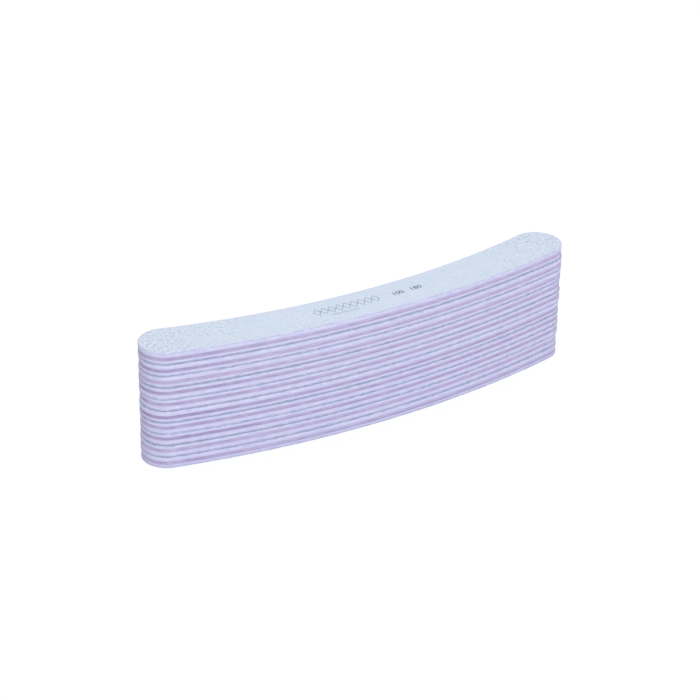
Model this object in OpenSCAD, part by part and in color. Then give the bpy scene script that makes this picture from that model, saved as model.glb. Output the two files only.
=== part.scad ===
// A stack of curved, cushioned emery boards lying flat on one another.
// Each board is a sandwich: abrasive paper, foam, a stiff plastic core, foam, abrasive paper,
// held together by four adhesive films. One face is coarse and the other is fine.
// X runs along the boards, the hollow side of the bow faces +Y and +Z is up.
// The origin is the middle of the bottom board's base, taken on its bounding box.

/* [Board outline] */
// Length of a board from tip to tip, straight across the bow
board_length = 178; // [150:1:200]
// Width of a board at the middle of its length
middle_width = 17.5; // [15:0.5:20]
// Width across a board's round ends
end_width = 19; // [16:0.5:22]
// Radius of the long edge on the outside of the bow
outer_radius = 365; // [300:5:500]

/* [Board layers] */
// Thickness of the abrasive paper, grit included
paper_thickness = 0.4; // [0.3:0.05:0.8]
// Thickness of each adhesive film
film_thickness = 0.1; // [0.05:0.05:0.2]
// Thickness of the foam under the coarse paper
coarse_foam_thickness = 1.45; // [1:0.05:2.5]
// Thickness of the foam under the fine paper
fine_foam_thickness = 0.9; // [0.6:0.05:2]
// Thickness of the plastic core
core_thickness = 1; // [0.6:0.1:2]
// How far the foam's cut edge draws back from the paper's
foam_recess = 0.1; // [0.05:0.05:0.4]
// How far the adhesive's edge draws back from the paper's
film_recess = 0.25; // [0.15:0.05:0.6]

/* [Stack] */
// Number of boards in the stack
board_count = 10; // [2:1:10]
// Gap between two boards, which the tips of the grit keep open
grit_gap = 0.1; // [0.05:0.05:0.3]
// Farthest that a board lies out of line with the bottom one, along the stack
wander_along = 0.12; // [0:0.02:0.6]
// Farthest that a board lies out of line with the bottom one, across the stack
wander_across = 0.08; // [0:0.02:0.4]
// Farthest that a board lies turned against the bottom one, in degrees
wander_angle = 0.08; // [0:0.02:0.3]

/* [Hidden] */
// Facets of every circle in the preview
$fn = 180;

// The boards that lie coarse face up, counted from the bottom; the others lie coarse face down
COARSE_UP = [1, 5, 8, 9, 10];

// The pattern in which boards wander, as angles: the step from one board to the next, and where
// each way of wandering starts. The step is such that no two neighbours lie alike.
WANDER_STEP = 137.5;
ALONG_START = 0;
ACROSS_START = 90;
TURN_START = 200;

// The sandwich from the fine face to the coarse face: each layer's name and thickness
SANDWICH = [
    ["fine paper", paper_thickness],
    ["film on fine paper", film_thickness],
    ["fine foam", fine_foam_thickness],
    ["film on fine foam", film_thickness],
    ["core", core_thickness],
    ["film on coarse foam", film_thickness],
    ["coarse foam", coarse_foam_thickness],
    ["film on coarse paper", film_thickness],
    ["coarse paper", paper_thickness]
];
FILMS = [
    "film on fine paper", "film on fine foam", "film on coarse foam", "film on coarse paper"
];

function place_of(name) = search([name], SANDWICH)[0];
function thickness_of(name) = SANDWICH[place_of(name)][1];

// Height of the layers below a place in the sandwich, counted from the fine face
function height_below(place) = place == 0 ? 0
    : SANDWICH[place - 1][1] + height_below(place - 1);

board_thickness = height_below(len(SANDWICH));
board_pitch = board_thickness + grit_gap;

// The long edges run into a round end this far inside its rim, so that they cross it cleanly
end_lap = 0.02;

// The round end: its radius, the radius that the long edges run along, and its centre
end_radius = end_width / 2;
edge_radius = end_radius - end_lap;
end_x = board_length / 2 - end_radius;
outer_centre_y = outer_radius - middle_width / 2;
end_y = outer_centre_y - sqrt(pow(outer_radius - edge_radius, 2) - pow(end_x, 2));

// The hollow edge passes through the middle width and runs smoothly into both round ends
end_rise = end_y - middle_width / 2;
inner_radius = (pow(end_x, 2) + pow(end_rise, 2) - pow(edge_radius, 2))
    / (2 * (edge_radius + end_rise));
inner_centre_y = inner_radius + middle_width / 2;

// Middle of the board's bounding box, which becomes y = 0
box_middle_y = (end_y + end_radius - middle_width / 2) / 2;

// Directions from the end's centre to where the two long edges run into it
outer_direction = atan2(end_y - outer_centre_y, end_x);
inner_direction = atan2(inner_centre_y - end_y, -end_x);

// Clear of the whole outline, so that a cut made this long leaves nothing behind
beyond = 2 * outer_radius;

function on_circle(radius, angle) = radius * [cos(angle), sin(angle)];

// The half plane past the chord between the points where the long edges run into the right end
module past_chord(inset) {
    low = [end_x, end_y] + on_circle(edge_radius - inset, outer_direction);
    high = [end_x, end_y] + on_circle(edge_radius - inset, inner_direction);
    along = beyond * (high - low) / norm(high - low);
    outward = [along[1], -along[0]];
    polygon([low - along, low - along + outward, high + along + outward, high + along]);
}

// The stretch between the two round ends
module bowed_middle(inset) {
    difference() {
        intersection() {
            translate([0, outer_centre_y]) circle(outer_radius - inset);
            translate([-board_length / 2, -middle_width]) square([board_length, board_length / 2]);
        }
        translate([0, inner_centre_y]) circle(inner_radius + inset);
        past_chord(inset);
        mirror([1, 0]) past_chord(inset);
    }
}

// The board's outline, drawn back by the inset all round
module board_outline(inset = 0) {
    translate([0, -box_middle_y]) {
        bowed_middle(inset);
        for (side = [-1, 1])
            translate([side * end_x, end_y]) circle(end_radius - inset);
    }
}

function coarse_up(n) = len(search(n, COARSE_UP)) > 0;

// Height of a layer's underside in board n
function layer_z(n, name) = (n - 1) * board_pitch
    + (coarse_up(n) ? height_below(place_of(name))
        : board_thickness - height_below(place_of(name) + 1));

// How far board n strays, as a share of the most that any board may; the bottom one sets the line
function stray(n, start) = n == 1 ? 0 : sin(n * WANDER_STEP + start);

// Places a board's pieces where the board lies in the stack
module lay(n) {
    translate([wander_along * stray(n, ALONG_START), wander_across * stray(n, ACROSS_START), 0])
        rotate(wander_angle * stray(n, TURN_START))
            children();
}

module layer(n, name, inset = 0) {
    lay(n)
        translate([0, 0, layer_z(n, name)])
            linear_extrude(thickness_of(name)) board_outline(inset);
}

module core(n) {
    color("orchid") layer(n, "core");
}

module coarse_foam(n) {
    color("lavender") layer(n, "coarse foam", foam_recess);
}

module fine_foam(n) {
    color("lavender") layer(n, "fine foam", foam_recess);
}

module coarse_paper(n) {
    color("lightsteelblue") layer(n, "coarse paper");
}

module fine_paper(n) {
    color("lightblue") layer(n, "fine paper");
}

module glue_films(n) {
    color("whitesmoke")
        for (name = FILMS)
            layer(n, name, film_recess);
}

PIECES = ["core", "coarse_foam", "fine_foam", "coarse_paper", "fine_paper", "glue_films"];
function node_name(n, piece) = str("board_", n, "_", piece);

for (n = [1 : board_count]) {
    core(n);
    coarse_foam(n);
    fine_foam(n);
    coarse_paper(n);
    fine_paper(n);
    glue_films(n);
}
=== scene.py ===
import math

import bmesh
import bpy
from mathutils import Matrix, Vector


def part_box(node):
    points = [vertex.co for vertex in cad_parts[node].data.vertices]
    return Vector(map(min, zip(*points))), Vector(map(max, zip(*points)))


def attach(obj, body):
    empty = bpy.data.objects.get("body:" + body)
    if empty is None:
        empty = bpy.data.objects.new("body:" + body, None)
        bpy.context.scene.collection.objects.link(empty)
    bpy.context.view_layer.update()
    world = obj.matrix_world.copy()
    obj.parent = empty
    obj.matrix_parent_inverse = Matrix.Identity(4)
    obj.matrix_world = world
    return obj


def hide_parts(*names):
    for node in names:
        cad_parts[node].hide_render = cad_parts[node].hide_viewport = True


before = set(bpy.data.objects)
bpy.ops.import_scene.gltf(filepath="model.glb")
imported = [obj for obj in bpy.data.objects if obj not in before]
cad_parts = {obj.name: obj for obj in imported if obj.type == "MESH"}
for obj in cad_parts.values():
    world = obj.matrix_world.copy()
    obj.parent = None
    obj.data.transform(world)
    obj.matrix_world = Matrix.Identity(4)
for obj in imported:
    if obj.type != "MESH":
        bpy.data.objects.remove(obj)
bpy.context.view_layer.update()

# The camera looks down on the stack's bulging long side from its left, from about 0.85 m away
# through a long lens, and is rolled a little. It is meant for a 700 x 700 pixel frame, which this
# script doesn't set.
aim = Vector((-0.00634, -0.00008, 0.02511))
bearing, height, roll = math.radians(-31.895), math.radians(28.469), math.radians(1.065)
distance, lens, sensor = 0.8448, 118.746, 36

towards_camera = Vector((
    math.sin(bearing) * math.cos(height),
    -math.cos(bearing) * math.cos(height),
    math.sin(height),
))
level_right = Vector((math.cos(bearing), math.sin(bearing), 0))
level_up = towards_camera.cross(level_right)
right = math.cos(roll) * level_right + math.sin(roll) * level_up
up = math.cos(roll) * level_up - math.sin(roll) * level_right

camera_data = bpy.data.cameras.new("camera")
camera_data.sensor_fit = "HORIZONTAL"
camera_data.sensor_width = sensor
camera_data.lens = lens
camera_data.clip_end = 20
camera = bpy.data.objects.new("camera", camera_data)
bpy.context.scene.collection.objects.link(camera)
camera.matrix_world = (
    Matrix.Translation(aim + distance * towards_camera)
    @ Matrix((right, up, towards_camera)).transposed().to_4x4()
)
bpy.context.scene.camera = camera


# Stiff core. A strip of pink polystyrene sheet, die cut to the banana outline, in the middle of
# each board's sandwich. Foam is stuck to both its faces, so only its cut edge shows, with the fine
# streaks that the die leaves.
board_count = 10
board_length, middle_width, end_width = 0.178, 0.0175, 0.019
outer_radius = 0.365
end_lap = 0.00002

# The outline's four arcs, from the sizes above and about the middle of the board's box. The two
# ways are the directions, seen from the right end's centre, in which the long edges run into it.
edge_radius = end_width / 2 - end_lap
end_x = board_length / 2 - end_width / 2
outer_y = outer_radius - middle_width / 2
end_y = outer_y - math.sqrt((outer_radius - edge_radius) ** 2 - end_x ** 2)
rise = end_y - middle_width / 2
inner_radius = (end_x ** 2 + rise ** 2 - edge_radius ** 2) / (2 * (edge_radius + rise))
inner_y = inner_radius + middle_width / 2
outer_way = math.atan2(end_y - outer_y, end_x)
inner_way = math.atan2(inner_y - end_y, -end_x)
box_middle = (end_y + end_width / 2 - middle_width / 2) / 2
outer_y, inner_y, end_y = outer_y - box_middle, inner_y - box_middle, end_y - box_middle


class Wire:
    """A node's output. Adding or multiplying wires adds the Math nodes that do it."""

    def __init__(self, bench, socket):
        self.bench, self.socket = bench, socket

    def out(self, name):
        return Wire(self.bench, self.socket.node.outputs[name])

    def __add__(self, other):
        return self.bench.maths("ADD", self, other)

    def __radd__(self, other):
        return self.bench.maths("ADD", other, self)

    def __sub__(self, other):
        return self.bench.maths("SUBTRACT", self, other)

    def __rsub__(self, other):
        return self.bench.maths("SUBTRACT", other, self)

    def __mul__(self, other):
        return self.bench.maths("MULTIPLY", self, other)

    def __rmul__(self, other):
        return self.bench.maths("MULTIPLY", other, self)

    def __truediv__(self, other):
        return self.bench.maths("DIVIDE", self, other)

    def __rtruediv__(self, other):
        return self.bench.maths("DIVIDE", other, self)

    def __lt__(self, other):
        return self.bench.maths("LESS_THAN", self, other)

    def __gt__(self, other):
        return self.bench.maths("GREATER_THAN", self, other)


class Bench:
    """A node tree while it is wired up."""

    def __init__(self, tree):
        self.tree = tree

    def node(self, kind, settings, sockets, out=0):
        """Adds a node with these settings and socket values or links, and gives an output of it."""
        made = self.tree.nodes.new(kind)
        for name, value in settings.items():
            if name == "stops":
                ramp = made.color_ramp
                for place, colour in value[2:]:
                    ramp.elements.new(place)
                for element, (place, colour) in zip(ramp.elements, value):
                    element.position, element.color = place, colour
            else:
                setattr(made, name, value)
        for name, value in sockets.items():
            for part in value if isinstance(value, list) else [value]:
                if isinstance(part, Wire):
                    self.tree.links.new(part.socket, made.inputs[name])
                else:
                    made.inputs[name].default_value = part
        return Wire(self, made.outputs[out]) if len(made.outputs) else None

    def maths(self, operation, *terms):
        return self.node("ShaderNodeMath", {"operation": operation}, dict(enumerate(terms)))

    def within(self, wire):
        """The wire, held between 0 and 1."""
        return self.node("ShaderNodeClamp", {}, {"Value": wire})

    def along_axis(self, vector, axis):
        """The vector's part along an axis: 0 for X, 1 for Y and 2 for Z."""
        return self.node("ShaderNodeSeparateXYZ", {}, {"Vector": vector}, out=axis)

    def store(self, geometry, label, value, kind="FLOAT", domain="POINT"):
        """The geometry, with this value kept on it under a label."""
        return self.node("GeometryNodeStoreNamedAttribute", {"data_type": kind, "domain": domain},
                         {"Geometry": geometry, "Name": label, "Value": value})

    def recall(self, label, kind="FLOAT"):
        """What was kept under a label, for Geometry Nodes."""
        return self.node("GeometryNodeInputNamedAttribute", {"data_type": kind}, {"Name": label})

    def painted(self, label):
        """The number that was kept under a label, for a material."""
        return self.node("ShaderNodeAttribute", {"attribute_name": label}, {}, out=2)


def geometry_bench(name, inputs):
    """A Geometry Nodes tree with these named inputs, and its input wires by name."""
    tree = bpy.data.node_groups.new(name, "GeometryNodeTree")
    tree.interface.new_socket("Geometry", in_out="OUTPUT", socket_type="NodeSocketGeometry")
    for label, kind in inputs.items():
        tree.interface.new_socket(label, in_out="INPUT", socket_type="NodeSocket" + kind)
    bench = Bench(tree)
    entry = bench.node("NodeGroupInput", {}, {})
    return bench, {label: entry.out(label) for label in inputs}


# Edges that turn by more than this, in radians, stay sharp.
crease_angle = 0.8


def shade_smooth(bench, geometry):
    """Shades the geometry smooth, apart from its creases."""
    turn = bench.node("GeometryNodeInputMeshEdgeAngle", {}, {})
    geometry = bench.store(geometry, "sharp_edge", turn > crease_angle, "BOOLEAN", "EDGE")
    return bench.node("GeometryNodeSetShadeSmooth", {}, {
        "Geometry": geometry, "Shade Smooth": True,
    })


def close_tree(bench, geometry, material, selection=True):
    """Ends a tree in Realize Instances and Set Material."""
    plain = bench.node("GeometryNodeRealizeInstances", {}, {"Geometry": geometry})
    dressed = bench.node("GeometryNodeSetMaterial", {}, {
        "Geometry": plain, "Selection": selection, "Material": material,
    })
    bench.node("NodeGroupOutput", {}, {"Geometry": dressed})


def grown(name, tree, values, start=None):
    """The plain mesh that a tree makes of these values, out of a starting mesh if it needs one."""
    base = start or bpy.data.meshes.new(name + "_start")
    maker = bpy.data.objects.new(name + "_maker", base)
    bpy.context.scene.collection.objects.link(maker)
    modifier = maker.modifiers.new("grow", "NODES")
    modifier.node_group = tree
    for item in tree.interface.items_tree:
        if item.name in values:
            modifier[item.identifier] = values[item.name]
    depsgraph = bpy.context.evaluated_depsgraph_get()
    mesh = bpy.data.meshes.new_from_object(
        maker.evaluated_get(depsgraph), preserve_all_data_layers=True, depsgraph=depsgraph)
    maker.modifiers.remove(modifier)
    bpy.data.objects.remove(maker)
    bpy.data.meshes.remove(base)
    for place in reversed(range(len(mesh.materials))):
        if mesh.materials[place] is None:
            mesh.materials.pop(index=place)
    mesh.name = name
    return mesh


# Points closer than this, in metres, are one.
weld_distance = 1e-6


def die_cut_tree(name, rows):
    """Wraps a strip round the outline: a filled loop, raised in steps, then swelled outwards."""
    bench, size = geometry_bench(name, {
        "Outer radius": "Float", "Outer centre": "Float", "Inner radius": "Float",
        "Inner centre": "Float", "End radius": "Float", "End along": "Float",
        "End across": "Float", "Draw-back": "Float", "Points round": "Int",
        "Underside": "Float", "Thickness": "Float", "Bulge": "Float",
        "Unevenness": "Float", "Uneven length": "Float", "Core above": "Float", "Seed": "Float",
        "Material": "Material",
    })
    outer = size["Outer radius"] - size["Draw-back"]
    inner = size["Inner radius"] + size["Draw-back"]
    end = size["End radius"] - size["Draw-back"]
    outer_half, inner_half = outer_way + math.pi / 2, inner_way - math.pi / 2

    # Lengths along the outline at which one arc gives way to the next.
    first = outer * (2 * outer_half)
    second = first + end * (inner_way - outer_way)
    third = second + inner * (2 * inner_half)
    whole = third + end * (inner_way - outer_way)
    index = bench.node("GeometryNodeInputIndex", {}, {})
    along = index / size["Points round"] * whole

    in_first, in_second, in_third = along < first, along < second, along < third

    def by_arc(on_outer, on_right, on_inner, on_left):
        rest = on_left + in_third * (on_inner - on_left)
        rest = rest + in_second * (on_right - rest)
        return rest + in_first * (on_outer - rest)

    angle = by_arc(
        along / outer - (math.pi / 2 + outer_half),
        (along - first) / end + outer_way,
        (inner_half - math.pi / 2) - (along - second) / inner,
        (along - third) / end + (math.pi - inner_way),
    )
    radius = by_arc(outer, end, inner, end)
    centre_x = by_arc(0, size["End along"], 0, size["End along"] * -1)
    centre_y = by_arc(size["Outer centre"], size["End across"],
                      size["Inner centre"], size["End across"])
    hollow = (1 - in_second) * in_third
    side = 1 - 2 * hollow
    cosine, sine = bench.maths("COSINE", angle), bench.maths("SINE", angle)
    place = bench.node("ShaderNodeCombineXYZ", {}, {
        "X": centre_x + radius * cosine, "Y": centre_y + radius * sine, "Z": size["Underside"],
    })
    outward = bench.node("ShaderNodeCombineXYZ", {}, {"X": side * cosine, "Y": side * sine})

    # A filled loop, whose points are then laid on the outline, whatever its own radius.
    loop = bench.node("GeometryNodeMeshCircle", {"fill_type": "NGON"}, {
        "Vertices": size["Points round"], "Radius": 0.01,
    })
    for label, value in (("place", place), ("outward", outward)):
        loop = bench.store(loop, label, value, "FLOAT_VECTOR")
    loop = bench.node("GeometryNodeSetPosition", {}, {
        "Geometry": loop, "Position": bench.recall("place", "FLOAT_VECTOR"),
    })

    raised, top = loop, True
    for _ in range(rows):
        raised = bench.node("GeometryNodeExtrudeMesh", {"mode": "FACES"}, {
            "Mesh": raised, "Selection": top, "Offset": (0, 0, 1),
            "Offset Scale": size["Thickness"] / rows, "Individual": False,
        })
        top = raised.out("Top")
    underside = bench.node("GeometryNodeFlipFaces", {}, {"Mesh": loop})
    body = bench.node("GeometryNodeJoinGeometry", {}, {"Geometry": [underside, raised]})
    body = bench.node("GeometryNodeMergeByDistance", {}, {
        "Geometry": body, "Distance": weld_distance,
    })

    # The cut edge swells most halfway up, as a parabola, and is uneven there.
    position = bench.node("GeometryNodeInputPosition", {}, {})
    level = (bench.along_axis(position, 2) - size["Underside"]) / size["Thickness"]
    swell = 4 * level * (1 - level)
    shifted = bench.node("ShaderNodeCombineXYZ", {}, {"X": size["Seed"], "Y": size["Seed"]})
    shifted = bench.node("ShaderNodeVectorMath", {"operation": "ADD"}, {0: position, 1: shifted})
    ripple = bench.node("ShaderNodeTexNoise", {"noise_dimensions": "3D"}, {
        "Vector": shifted, "Scale": 1 / size["Uneven length"], "Detail": 3.0, "Roughness": 0.6,
    })
    push = swell * size["Bulge"] + bench.maths("SQRT", swell) * (
        (ripple - 0.5) * size["Unevenness"])
    offset = bench.node("ShaderNodeVectorMath", {"operation": "SCALE"}, {
        0: bench.recall("outward", "FLOAT_VECTOR"), "Scale": push,
    })
    body = bench.node("GeometryNodeSetPosition", {}, {"Geometry": body, "Offset": offset})
    for label in ("place", "outward"):
        body = bench.node("GeometryNodeRemoveAttribute", {}, {"Geometry": body, "Name": label})

    # How near the core a point lies: 1 on the side towards it and 0 on the far side. The core's own
    # strips have it as if a core lay below them.
    to_core = 1 - level + size["Core above"] * (2 * level - 1)
    body = bench.store(body, "to_core", to_core)
    close_tree(bench, shade_smooth(bench, body), size["Material"])
    return bench.tree


# How the boards wander: the degrees from one board to the next, the farthest that one lies out of
# line along, across and turned (in degrees), and where two of these ways of wandering start.
wander_step, wander_along, wander_across, wander_turn = 137.5, 0.00012, 0.00008, 0.08
across_start, turn_start = 90, 200


def lie_in_stack(mesh, board):
    """Moves a mesh to where its board lies: boards wander a little from the bottom one's line."""
    def stray(start):
        return math.sin(math.radians(board * wander_step + start))

    if board > 1:
        drift = (wander_along * stray(0), wander_across * stray(across_start), 0)
        turn = math.radians(wander_turn * stray(turn_start))
        mesh.transform(Matrix.Translation(drift) @ Matrix.Rotation(turn, 4, "Z"))


def add_piece(name, mesh, board, slot, *nodes):
    """Puts a finished mesh in the scene as a piece of its board, in place of these CAD nodes."""
    piece = bpy.data.objects.new(name, mesh)
    bpy.context.scene.collection.objects.link(piece)
    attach(piece, f"board_{board}")
    if nodes:
        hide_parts(*nodes)
    return piece


# How far apart the boards' noise is taken, so that no two are uneven alike.
noise_step = 0.37


def cut_layer(board, part, tree, values, material):
    """One die-cut layer of one board, as thick and as high as its CAD node."""
    node = f"board_{board}_{part}"
    low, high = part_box(node)
    mesh = grown(f"{node}_cut", tree, {
        "Outer radius": outer_radius, "Outer centre": outer_y, "Inner radius": inner_radius,
        "Inner centre": inner_y, "End radius": edge_radius, "End along": end_x,
        "End across": end_y, "Underside": low[2], "Thickness": high[2] - low[2],
        "Seed": board * noise_step, "Material": material, **values,
    })
    lie_in_stack(mesh, board)
    return mesh, node


def shade(red, green, blue):
    """A colour as a screen shows it, from 0 to 255, taken back through the screen's curve."""
    shares = [level / 255 for level in (red, green, blue)]
    return tuple(
        share / 12.92 if share <= 0.04045 else ((share + 0.055) / 1.055) ** 2.4
        for share in shares
    ) + (1,)


def new_material(name):
    """A material, its bench, its shader, and the surface's place in the object, as wires."""
    material = bpy.data.materials.new(name)
    material.use_nodes = True
    bench = Bench(material.node_tree)
    shader = material.node_tree.nodes["Principled BSDF"]
    spot = bench.node("ShaderNodeTexCoord", {}, {}).out("Object")
    return material, bench, shader, spot


def feed(bench, shader, **sockets):
    """Links wires to the shader's sockets, or sets plain values there."""
    for name, value in sockets.items():
        name = name.replace("_", " ")
        if isinstance(value, Wire):
            bench.tree.links.new(value.socket, shader.inputs[name])
        else:
            shader.inputs[name].default_value = value


def tint(bench, factor, base, other):
    """Base colour where factor is 0, the other where it is 1."""
    return bench.node("ShaderNodeMix", {"data_type": "RGBA"}, {0: factor, 6: base, 7: other}, out=2)


def speckle(bench, spot, size, detail=2.0, stretch=(1, 1, 1)):
    """Soft noise from 0 to 1 whose blotches are about this size, in metres."""
    place = bench.node("ShaderNodeMapping", {}, {"Vector": spot, "Scale": stretch})
    return bench.node("ShaderNodeTexNoise", {"noise_dimensions": "3D"}, {
        "Vector": place, "Scale": 1 / size, "Detail": detail, "Roughness": 0.55,
    })


def mottled(bench, blotches, strength, base, dark, light):
    """The base colour, darker where the noise is low and lighter where it is high."""
    base = tint(bench, bench.within((blotches - 0.5) * strength), base, light)
    return tint(bench, bench.within((0.5 - blotches) * strength), base, dark)


def raise_by(bench, height_wire, depth, strength=1.0):
    """Relief of this depth, in metres, for the shader's Normal."""
    return bench.node("ShaderNodeBump", {}, {
        "Strength": strength, "Distance": depth, "Height": height_wire,
    })


core_plastic, bench, shader, spot = new_material("pink_plastic")
streaks = speckle(bench, spot, size=0.0004, detail=3.0, stretch=(1, 1, 0.12))
clouds = speckle(bench, spot, size=0.004)
deep = tint(bench, streaks, shade(174, 159, 203), shade(154, 140, 187))
pale = tint(bench, streaks, shade(202, 190, 225), shade(183, 171, 210))
# Each core's paleness, with painted shade towards its left end, chooses between deep and pale pink.
pink = tint(bench, bench.within(bench.painted("batch") + 0.4 * (clouds - 0.5)), deep, pale)
pink = mottled(bench, speckle(bench, spot, size=0.0014, detail=3.0, stretch=(0.35, 0.35, 1)),
               strength=1.8, base=pink, dark=shade(146, 130, 178), light=shade(218, 208, 238))

# Painted shade darkens the lower half of the cut, as if in a groove, and a painted highlight pales
# its upper part, as if light from above caught its lip. Both fade out at the left end, in metres
# from the middle. The level is 0 on the underside and 1 on top.
shade_middle_level, shade_half_width, highlight_start_level = 0.3, 0.35, 0.5
fade_end, fade_length = -0.06, 0.04
level = 1 - bench.painted("to_core")
painted_groove_shade = bench.within(1 - bench.maths("ABSOLUTE", level - shade_middle_level) / shade_half_width)
painted_lip_highlight = bench.within((level - highlight_start_level) * 2.0)
away_from_left_end = bench.within((bench.along_axis(spot, 0) - fade_end) / fade_length)
pink = tint(bench, away_from_left_end * painted_groove_shade * 0.28, pink, shade(138, 122, 170))
pink = tint(bench, away_from_left_end * painted_lip_highlight * 0.6, pink, shade(208, 203, 236))
feed(bench, shader, Base_Color=pink, Roughness=0.38 + 0.2 * streaks,
     Normal=raise_by(bench, streaks, depth=0.00004, strength=0.7), IOR=1.5)

# How pale each core is, along most of its length and at its left end, from board 1 up: 0 is the
# deepest pink and 1 the palest. The cores differ in paleness from board to board, and the lower
# values at the left ends are painted shade.
core_paleness = (
    (0.85, 0.8), (1.0, 0.85), (0.5, 0.1), (0.5, 0.5), (0.5, 0.0),
    (0.73, 0.55), (0.78, 0.2), (1.0, 0.8), (0.95, 0.2), (0.95, 0.35),
)
# Painted shade on the cores' left ends starts at the first place, in metres from the middle, and is
# full at the second.
left_shade_start, left_shade_full = -0.045, -0.07
core_tree = die_cut_tree("core_strip", rows=3)
for board, (mostly, left_end) in enumerate(core_paleness, start=1):
    mesh, node = cut_layer(board, "core", core_tree, {
        "Draw-back": 0.00014, "Points round": 760, "Bulge": 0.0,
        "Unevenness": 0.00002, "Uneven length": 0.0015,
    }, core_plastic)
    paleness = []
    for vertex in mesh.vertices:
        left_shade_share = (vertex.co.x - left_shade_start) / (left_shade_full - left_shade_start)
        paleness.append(mostly + (left_end - mostly) * min(max(left_shade_share, 0.0), 1.0))
    mesh.attributes.new("batch", "FLOAT", "POINT").data.foreach_set("value", paleness)
    add_piece(f"board_{board}_core_strip", mesh, board, "core_plastic", node)


# Foam cushions. Two strips of pale lilac closed-cell foam, the thicker one under the coarse paper.
# They are stuck to the core and cut by the same die, so their edges swell and show torn cells.
# Painted shade darkens them towards the core, a little pinker there.
cell_size, torn_above, core_shade_power = 0.00022, 0.55, 1.5
foam_material, bench, shader, spot = new_material("lilac_foam")
cells = bench.node("ShaderNodeTexVoronoi", {"feature": "F1"}, {
    "Vector": spot, "Scale": 1 / cell_size, "Randomness": 1.0,
})
torn = speckle(bench, spot, size=0.0005, detail=3.0)
pits = bench.within(1 - cells * 1.6)
lilac = tint(bench, speckle(bench, spot, size=0.006), shade(220, 222, 250), shade(212, 214, 246))
lilac = mottled(bench, speckle(bench, spot, size=0.0015, detail=3.0, stretch=(0.5, 0.5, 1)),
                strength=2.0, base=lilac, dark=shade(188, 189, 229), light=shade(240, 241, 255))
lilac = tint(bench, bench.within(torn - torn_above) * 2.2, lilac, shade(234, 235, 254))
# Painted shade in the pits of the open cells.
lilac = tint(bench, pits * 0.35, lilac, shade(184, 183, 226))
# Painted shade, darker and a little pinker towards the core.
shade_towards_core = bench.maths("POWER", bench.painted("to_core"), core_shade_power)
lilac = tint(bench, shade_towards_core * 0.7, lilac, shade(199, 193, 234))
feed(bench, shader, Base_Color=lilac, Roughness=0.85 + 0.1 * torn,
     Normal=raise_by(bench, torn - 0.6 * pits, depth=0.00006, strength=0.8), IOR=1.4)


def lies_above(node, other):
    """Whether one CAD node lies higher than another."""
    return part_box(node)[0][2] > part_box(other)[0][2]


foam_tree = die_cut_tree("foam_strip", rows=8)
for board in range(1, board_count + 1):
    for part, bulge in (("coarse_foam", 0.00011), ("fine_foam", 0.00008)):
        core_above = lies_above(f"board_{board}_core", f"board_{board}_{part}")
        mesh, node = cut_layer(board, part, foam_tree, {
            "Draw-back": 0.00016, "Points round": 900, "Bulge": bulge,
            "Unevenness": 0.00009, "Uneven length": 0.0007,
            "Core above": float(core_above),
        }, foam_material)
        piece = add_piece(f"board_{board}_{part}_strip", mesh, board, "foam", node)


# Abrasive papers. Pale blue coated paper, one with coarse grit and one with fine, stuck on the foam
# grit outwards. The die rounds the face's rim a little and leaves the paper's grey edge bare.
coat_slot, edge_slot = 0, 1

# The grid is finer at the rim: its last rows lie at these shares of the way out, across the board
# and along it. A round end has as many other rows as fit in its depth.
last_rows_across, last_rows_along, end_depth = (0.96, 0.985, 1), (0.975, 1), 0.009

# The die draws the face's rim in and down, over a strip of this width, and each ring of the cut
# edge below it, given as a share of its height and how far in, stands farther out.
rim_in, rim_drop, rim_width = 0.00006, 0.00003, 0.0003
cut_rings = ((0.72, 0.00003), (0.35, 0.000005), (0.0, 0.0))


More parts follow.
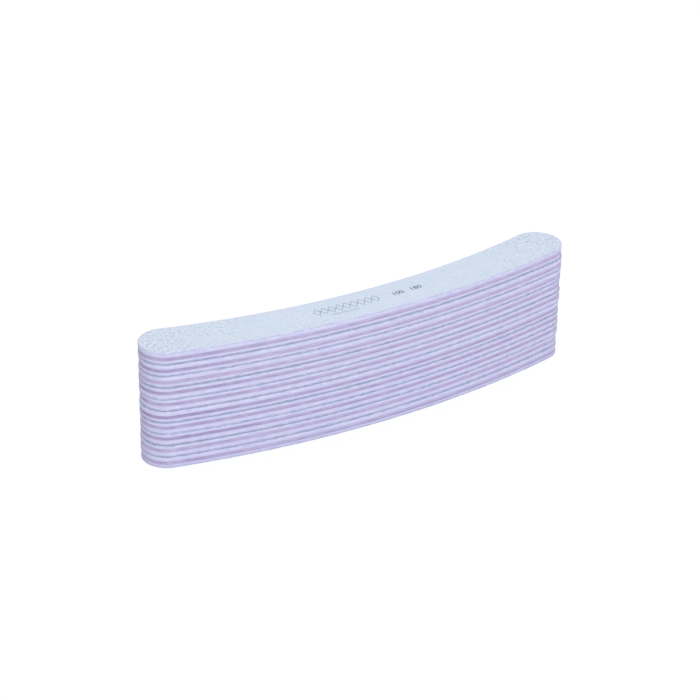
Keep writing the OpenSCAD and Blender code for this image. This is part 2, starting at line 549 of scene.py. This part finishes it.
def paper_blank(name, thickness, facing, step):
    """A sheet of paper as a grid without poles, its face at this thickness and its back filled."""
    columns, rows = round(2 * end_x / step), round(middle_width / step)
    end_rows = round(end_depth / step)
    end_centre = Vector((end_x, end_y))
    outer_half, inner_half = outer_way + math.pi / 2, inner_way - math.pi / 2
    across = [-share for share in reversed(last_rows_across)]
    across += [-1 + 2 * k / rows for k in range(1, rows)] + list(last_rows_across)

    def in_middle(t, v, inset):
        a, b = t * outer_half, t * inner_half
        outer_arc, inner_arc = outer_radius - inset, inner_radius + inset
        outer = Vector((outer_arc * math.sin(a), outer_y - outer_arc * math.cos(a)))
        inner = Vector((inner_arc * math.sin(b), inner_y - inner_arc * math.cos(b)))
        return outer.lerp(inner, (v + 1) / 2), (1 - abs(v)) * (inner - outer).length / 2

    def in_end(x, v, inset):
        radius = edge_radius - inset
        low = Vector((math.cos(outer_way), math.sin(outer_way))) * radius
        high = Vector((math.cos(inner_way), math.sin(inner_way))) * radius
        px, py = x * math.sqrt(1 - v * v / 2), v * math.sqrt(1 - x * x / 2)
        share = math.hypot(px, py)
        turn = math.atan2(py, px) / (math.pi / 2) if share else 0
        way = (outer_way + inner_way) / 2 + turn * (inner_way - outer_way) / 2
        rim = end_centre + radius * Vector((math.cos(way), math.sin(way)))
        return (end_centre + (low + high) / 2).lerp(rim, share), (1 - share) * radius

    steps = [k / end_rows for k in range(1, end_rows)] + list(last_rows_along)

    def laid_out(inset):
        left = [[in_end(x, v, inset) for v in across] for x in reversed(steps)]
        left = [[(Vector((-p.x, p.y)), d) for p, d in column] for column in left]
        middle = [[in_middle(-1 + 2 * k / columns, v, inset) for v in across]
                  for k in range(columns + 1)]
        return left + middle + [[in_end(x, v, inset) for v in across] for x in steps]

    grid = laid_out(rim_in)
    wide, tall = len(across), len(grid)
    points, from_edge, faces, slots = [], [], [], []
    for column in grid:
        for p, d in column:
            bend = max(0.0, 1 - d / rim_width)
            points.append((p.x, p.y, thickness - rim_drop * bend * bend))
            from_edge.append(d)
    for i in range(tall - 1):
        for j in range(wide - 1):
            a = i * wide + j
            faces.append((a, a + wide, a + wide + 1, a + 1))
            slots.append(coat_slot)
    ring = [i * wide for i in range(tall)] + [(tall - 1) * wide + j for j in range(1, wide)]
    ring += [i * wide + wide - 1 for i in range(tall - 2, -1, -1)] + list(range(wide - 2, 0, -1))
    upper = ring
    for share, inset in cut_rings:
        cut = laid_out(inset)
        lower = [len(points) + k for k in range(len(ring))]
        for index in ring:
            p = cut[index // wide][index % wide][0]
            points.append((p.x, p.y, (thickness - rim_drop) * share))
            from_edge.append(0.0)
        for k in range(len(ring)):
            n = (k + 1) % len(ring)
            faces.append((upper[k], lower[k], lower[n], upper[n]))
            slots.append(edge_slot)
        upper = lower
    faces.append(tuple(reversed(upper)))
    slots.append(edge_slot)

    mesh = bpy.data.meshes.new(name)
    if facing < 0:
        points = [(x, y, -z) for x, y, z in points]
        faces = [tuple(reversed(face)) for face in faces]
    mesh.from_pydata(points, [], faces)
    mesh.attributes.new("from_edge", "FLOAT", "POINT").data.foreach_set("value", from_edge)
    mesh.polygons.foreach_set("material_index", slots)
    return mesh


# The resin's ripple grows from nothing at the rim over the ripple's fade. Grains sit only farther
# in than the bare strip, and only where the sheet faces outwards at least this much. A grain's
# tone says how pale it is, and the sheet has none.
ripple_fade, bare_strip, level_enough = 0.0006, 0.0003, 0.9
darkest_tone, palest_tone, any_tone = 0.2, 1.0, 0.1
smallest_girth, full_turn, seed_step = 0.6, 6.28, 0.31


def grit_tree():
    """Ripples the coated face a little and scatters grains on it, sunk into their resin."""
    bench, size = geometry_bench("grit_coat", {
        "Sheet": "Geometry", "Facing": "Float", "Ripple": "Float", "Ripple length": "Float",
        "Grains per square metre": "Float", "Grain radius": "Float", "Seed": "Int",
        "Grain material": "Material",
    })
    position = bench.node("GeometryNodeInputPosition", {}, {})
    from_edge = bench.recall("from_edge")
    seed = bench.node("ShaderNodeCombineXYZ", {}, {"X": size["Seed"] * seed_step})
    shifted = bench.node("ShaderNodeVectorMath", {"operation": "ADD"}, {0: position, 1: seed})
    wave = bench.node("ShaderNodeTexNoise", {"noise_dimensions": "3D"}, {
        "Vector": shifted, "Scale": 1 / size["Ripple length"], "Detail": 2.0, "Roughness": 0.6,
    })
    inland = bench.within(from_edge / ripple_fade)
    lift = (wave - 0.5) * size["Ripple"] * inland * size["Facing"]
    sheet = bench.node("GeometryNodeSetPosition", {}, {
        "Geometry": size["Sheet"],
        "Offset": bench.node("ShaderNodeCombineXYZ", {}, {"Z": lift}),
    })
    sheet = shade_smooth(bench, sheet)

    normal = bench.node("GeometryNodeInputNormal", {}, {})
    facing = bench.along_axis(normal, 2) * size["Facing"]
    points = bench.node("GeometryNodeDistributePointsOnFaces", {"distribute_method": "RANDOM"}, {
        "Mesh": sheet, "Selection": (facing > level_enough) * (from_edge > bare_strip),
        "Density": size["Grains per square metre"], "Seed": size["Seed"],
    })
    tone = bench.node("FunctionNodeRandomValue", {"data_type": "FLOAT"},
                      {2: darkest_tone, 3: palest_tone, "Seed": size["Seed"]}, out=1)
    points = bench.store(points, "tone", tone)

    # A grain is a four-sided crystal of about unit size, turned every way and sunk a little.
    crystal = bench.node("GeometryNodeMeshCone", {"fill_type": "NGON"}, {
        "Vertices": 4, "Side Segments": 1, "Radius Top": 0.0, "Radius Bottom": 0.8, "Depth": 1.3,
    })
    crystal = bench.node("GeometryNodeTransform", {}, {
        "Geometry": crystal, "Translation": (0, 0, -0.45),
    })
    spin = bench.node("FunctionNodeRandomValue", {"data_type": "FLOAT_VECTOR"},
                      {0: (0, 0, 0), 1: (full_turn,) * 3, "Seed": size["Seed"] + 1})
    girth = bench.node("FunctionNodeRandomValue", {"data_type": "FLOAT"},
                       {2: smallest_girth, 3: 1.0, "Seed": size["Seed"] + 2}, out=1)
    grains = bench.node("GeometryNodeInstanceOnPoints", {}, {
        "Points": points, "Instance": crystal, "Rotation": spin,
        "Scale": girth * size["Grain radius"],
    })
    coat = bench.node("GeometryNodeJoinGeometry", {}, {"Geometry": [grains, sheet]})
    close_tree(bench, coat, size["Grain material"], bench.recall("tone") > any_tone)
    return bench.tree


def coated_face(name, cell, contrast):
    """The resin between the grains: pale blue, with painted glints and dark specks most at the
    ends, lavender at the rim.
    """
    light_above, dark_below, lavender_width = 0.57, 0.43, 0.0008
    material, bench, shader, spot = new_material(name)
    grains = bench.node("ShaderNodeTexVoronoi", {"feature": "F1"}, {
        "Vector": spot, "Scale": 1 / cell, "Randomness": 1.0,
    })
    domes = bench.within(1 - grains * 1.3)
    clouds = speckle(bench, spot, size=0.006, detail=3.0)
    fine = speckle(bench, spot, size=cell * 2.2)
    glints_and_dark_specks = speckle(bench, spot, size=0.0011)
    along = bench.along_axis(spot, 0) / (board_length / 2)
    patches = bench.within(0.1 + bench.maths("POWER", along * along, 2.0)
                           + 1.2 * (speckle(bench, spot, size=0.016) - 0.5))
    blue = tint(bench, clouds, shade(204, 219, 236), shade(218, 229, 244))
    blue = tint(bench, patches * patches * 0.25, blue, shade(192, 202, 226))
    # Pale and dark specks of the grit; the larger pale flecks, most at the ends, are painted
    # glints.
    for grain, strength in ((fine, 2.2 * contrast), (glints_and_dark_specks, 10.0 * contrast * patches)):
        light = bench.within((grain - light_above) * strength)
        blue = tint(bench, light, blue, shade(240, 246, 253))
        dark = bench.within((dark_below - grain) * strength)
        blue = tint(bench, dark, blue, shade(160, 178, 200))
    rim = bench.within(1 - bench.painted("from_edge") / lavender_width)
    blue = tint(bench, rim * 0.85, blue, shade(210, 210, 240))
    relief = raise_by(bench, domes + 0.6 * fine, depth=cell * 0.3, strength=0.6)
    feed(bench, shader, Base_Color=blue, Roughness=0.72 + 0.15 * fine, Normal=relief, IOR=1.45)
    return material


coarse_coat = coated_face("coarse_coat", cell=0.00024, contrast=1.0)
fine_coat = coated_face("fine_coat", cell=0.00013, contrast=0.6)

paper_edge, bench, shader, spot = new_material("paper_cut_edge")
fibres = speckle(bench, spot, size=0.0003, detail=3.0, stretch=(1, 1, 3))
grey = tint(bench, fibres, shade(209, 212, 242), shade(186, 190, 223))
grey = mottled(bench, speckle(bench, spot, size=0.0013, detail=3.0, stretch=(0.6, 0.6, 1)),
               strength=2.8, base=grey, dark=shade(150, 157, 190), light=shade(236, 239, 254))
feed(bench, shader, Base_Color=grey, Roughness=0.8 + 0.1 * fibres,
     Normal=raise_by(bench, fibres, depth=0.00005, strength=0.6), IOR=1.45)

grain_material, bench, shader, spot = new_material("abrasive_grain")
mineral = bench.node("ShaderNodeValToRGB", {"stops": [
    (darkest_tone, shade(172, 190, 212)), (0.5, shade(214, 226, 240)),
    (palest_tone, shade(250, 253, 255)),
]}, {"Fac": bench.painted("tone")})
feed(bench, shader, Base_Color=mineral,
     Roughness=0.3 + 0.3 * speckle(bench, spot, size=0.0001), IOR=1.6)

coat = grit_tree()
grit_height, seeds_apart = 0.0001, 7
for part, face, count, radius, step in (
    ("coarse_paper", coarse_coat, 0.95e6, 0.000085, 0.0005),
    ("fine_paper", fine_coat, 0.6e6, 0.00006, 0.0008),
):
    low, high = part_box(f"board_1_{part}")
    blanks = {facing: paper_blank(f"{part}_blank", high[2] - low[2] - grit_height, facing, step)
              for facing in (1, -1)}
    for blank in blanks.values():
        for material in (face, paper_edge):
            blank.materials.append(material)
    for board in range(1, board_count + 1):
        node = f"board_{board}_{part}"
        low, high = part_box(node)
        facing = 1 if lies_above(node, node.replace("paper", "foam")) else -1
        mesh = grown(f"{node}_sheet", coat, {
            "Facing": facing, "Ripple": 0.00003, "Ripple length": 0.0012,
            "Grains per square metre": count, "Grain radius": radius,
            "Seed": board * seeds_apart, "Grain material": grain_material,
        }, blanks[facing].copy())
        mesh.transform(Matrix.Translation((0, 0, low[2] if facing > 0 else high[2])))
        lie_in_stack(mesh, board)
        slot = "coarse_abrasive_paper" if part == "coarse_paper" else "fine_abrasive_paper"
        add_piece(f"{node}_sheet", mesh, board, slot, node)


# Printed marks. Grey ink, stamped on the coarse face of every board: a chain of plain lozenges over
# a row of small ones, and the two grit numbers in darker ink. The marks follow the bow, stand a
# hair proud of the resin, and are worn where the grains poke through.
def lozenge_tree():
    """A row of outlined lozenges, each a closed band of ink."""
    bench, size = geometry_bench("lozenge_row", {
        "Lozenges": "Int", "Pitch": "Float", "Across": "Float", "Half height": "Float",
        "Stroke": "Float", "Ink": "Float", "Material": "Material",
    })
    outline = bench.node("GeometryNodeCurvePrimitiveQuadrilateral", {"mode": "KITE"}, {
        "Width": size["Across"], "Bottom Height": size["Half height"],
        "Top Height": size["Half height"],
    })
    stroke = bench.node("GeometryNodeCurvePrimitiveQuadrilateral", {"mode": "RECTANGLE"}, {
        "Width": size["Stroke"], "Height": size["Ink"],
    })
    band = bench.node("GeometryNodeCurveToMesh", {}, {"Curve": outline, "Profile Curve": stroke})
    line = bench.node("GeometryNodeMeshLine", {"mode": "OFFSET"}, {
        "Count": size["Lozenges"],
        "Offset": bench.node("ShaderNodeCombineXYZ", {}, {"X": size["Pitch"]}),
    })
    row = bench.node("GeometryNodeInstanceOnPoints", {}, {"Points": line, "Instance": band})
    close_tree(bench, row, size["Material"])
    return bench.tree


def worn_ink(name, dark, light):
    """Matt ink that the grains have broken through in specks."""
    material, bench, shader, spot = new_material(name)
    worn_through, edge_of_wear = 0.3, 5.0
    worn = speckle(bench, spot, size=0.00022)
    feed(bench, shader, Base_Color=tint(bench, worn, dark, light), Roughness=0.6 + 0.2 * worn,
         Alpha=bench.within((worn - worn_through) * edge_of_wear), IOR=1.45)
    return material


pale_ink = worn_ink("pale_ink", shade(136, 150, 172), shade(164, 177, 197))
dark_ink = worn_ink("dark_ink", shade(92, 105, 127), shade(122, 135, 157))

pale_slot, dark_slot = 0, 1
ink_thickness = 0.00002
marks = []
for count, pitch, across, tall, stroke, start, level in (
    (9, 0.003, 0.0027, 0.0046, 0.00034, -0.0225, 0.0),
    (12, 0.00092, 0.0006, 0.0009, 0.00016, -0.0178, -0.0038),
):
    row = grown("lozenges", lozenge_tree(), {
        "Lozenges": count, "Pitch": pitch, "Across": across, "Half height": tall / 2,
        "Stroke": stroke, "Ink": ink_thickness, "Material": pale_ink,
    })
    row.transform(Matrix.Translation((start, level, 0)))
    marks.append((row, pale_slot))

digit_size, digit_boldness, digit_width, digit_line = 0.0031, 0.00003, 1.12, -0.0006
for number, middle in (("100", 0.0109), ("180", 0.0188)):
    lettering = bpy.data.curves.new("grit_number", "FONT")
    lettering.body, lettering.size = number, digit_size
    lettering.offset, lettering.extrude = digit_boldness, ink_thickness / 2
    lettering.align_x = lettering.align_y = "CENTER"
    maker = bpy.data.objects.new("grit_number", lettering)
    bpy.context.scene.collection.objects.link(maker)
    depsgraph = bpy.context.evaluated_depsgraph_get()
    digits = bpy.data.meshes.new_from_object(maker.evaluated_get(depsgraph))
    bpy.data.objects.remove(maker)
    digits.transform(Matrix.Translation((middle, digit_line, 0))
                     @ Matrix.Diagonal((digit_width, 1, 1, 1)))
    marks.append((digits, dark_slot))

# The press lays the marks round the bow, on a line that crosses the board's middle at this place.
print_line = -0.0043
press_radius = outer_y - print_line
points, faces, inks = [], [], []
for mark, ink in marks:
    faces += [[len(points) + k for k in face.vertices] for face in mark.polygons]
    inks += [ink] * len(mark.polygons)
    for x, y, z in (vertex.co for vertex in mark.vertices):
        turn = x / press_radius
        points.append(((press_radius - y) * math.sin(turn),
                       outer_y - (press_radius - y) * math.cos(turn), z))
plate = bpy.data.meshes.new("print_plate")
plate.from_pydata(points, [], faces)
for material in (pale_ink, dark_ink):
    plate.materials.append(material)
plate.polygons.foreach_set("material_index", inks)
seams = bmesh.new()
seams.from_mesh(plate)
bmesh.ops.remove_doubles(seams, verts=seams.verts, dist=weld_distance)
bmesh.ops.recalc_face_normals(seams, faces=seams.faces)
seams.to_mesh(plate)
seams.free()

ink_rise = 0.00003
ink_level = grit_height - ink_rise
for board in range(1, board_count + 1):
    low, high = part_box(f"board_{board}_coarse_paper")
    mesh = plate.copy()
    if lies_above(f"board_{board}_coarse_paper", f"board_{board}_coarse_foam"):
        mesh.transform(Matrix.Translation((0, 0, high[2] - ink_level)))
    else:
        mesh.transform(Matrix.Rotation(math.pi, 4, "Y"))
        mesh.transform(Matrix.Translation((0, 0, low[2] + ink_level)))
    lie_in_stack(mesh, board)
    add_piece(f"board_{board}_print", mesh, board, "coarse_abrasive_paper")


# Adhesive films. Thin clear film on both faces of each foam strip, cut with it, holds the sandwich
# together. It stays the CAD solid, drawn back from the edge, and shows only as a fine cloudy line.
film_material, bench, shader, spot = new_material("cloudy_film")
haze = speckle(bench, spot, size=0.0008, detail=3.0)
cloudy = tint(bench, haze, shade(196, 192, 214), shade(222, 220, 236))
feed(bench, shader, Base_Color=cloudy, Roughness=0.35 + 0.3 * haze,
     Normal=raise_by(bench, haze, depth=0.00003, strength=0.5), IOR=1.47)
for board in range(1, board_count + 1):
    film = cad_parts[f"board_{board}_glue_films"]
    for slot in film.material_slots:
        slot.material = film_material


# Studio. A white floor that runs out of sight just under the stack, a white surround, and soft
# light from the front left, from above and, more weakly, from behind.
reach, floor_level, floor_whiteness, floor_glow, ambient = 6, -0.00005, 0.85, 1.06, 0.55
floor_mesh = bpy.data.meshes.new("floor")
floor_mesh.from_pydata([(-reach, -reach, floor_level), (reach, -reach, floor_level),
                        (reach, reach, floor_level), (-reach, reach, floor_level)],
                       [], [(0, 1, 2, 3)])
floor = bpy.data.objects.new("floor", floor_mesh)
bpy.context.scene.collection.objects.link(floor)
floor_material, bench, shader, spot = new_material("floor_white")
feed(bench, shader, Base_Color=(0.82, 0.82, 0.82, 1), Roughness=0.9, Specular_IOR_Level=0.0)
seen = bench.node("ShaderNodeLightPath", {}, {})
glow = bench.node("ShaderNodeEmission", {}, {"Color": (1, 1, 1, 1), "Strength": floor_glow})
mixed = bench.node("ShaderNodeMixShader", {}, {
    0: seen.out("Is Camera Ray") * floor_whiteness, 1: Wire(bench, shader.outputs[0]), 2: glow,
})
surface = floor_material.node_tree.nodes["Material Output"].inputs["Surface"]
floor_material.node_tree.links.new(mixed.socket, surface)
floor_mesh.materials.append(floor_material)

world = bpy.data.worlds.new("surround")
bpy.context.scene.world = world
world.use_nodes = True
bench = Bench(world.node_tree)
seen = bench.node("ShaderNodeLightPath", {}, {})
straight = bench.within(seen.out("Is Camera Ray") + seen.out("Is Glossy Ray")
                        + seen.out("Is Transmission Ray"))
backdrop = world.node_tree.nodes["Background"]
backdrop.inputs["Color"].default_value = (1, 1, 1, 1)
bench.tree.links.new((ambient + (1 - ambient) * straight).socket, backdrop.inputs["Strength"])

for name, place, size, power in (
    ("key", (-0.4, -1.8, 1.0), 1.0, 17.5), ("top", (0.1, 0.2, 1.6), 1.2, 5.2),
    ("back", (0.3, 1.8, 0.8), 1.2, 9.0),
):
    data = bpy.data.lights.new(name, "AREA")
    data.size, data.energy = size, power
    lamp = bpy.data.objects.new(name, data)
    bpy.context.scene.collection.objects.link(lamp)
    lamp.location = place
    lamp.rotation_euler = (aim - Vector(place)).to_track_quat("-Z", "Y").to_euler()

bpy.context.scene.view_settings.view_transform = "Standard"
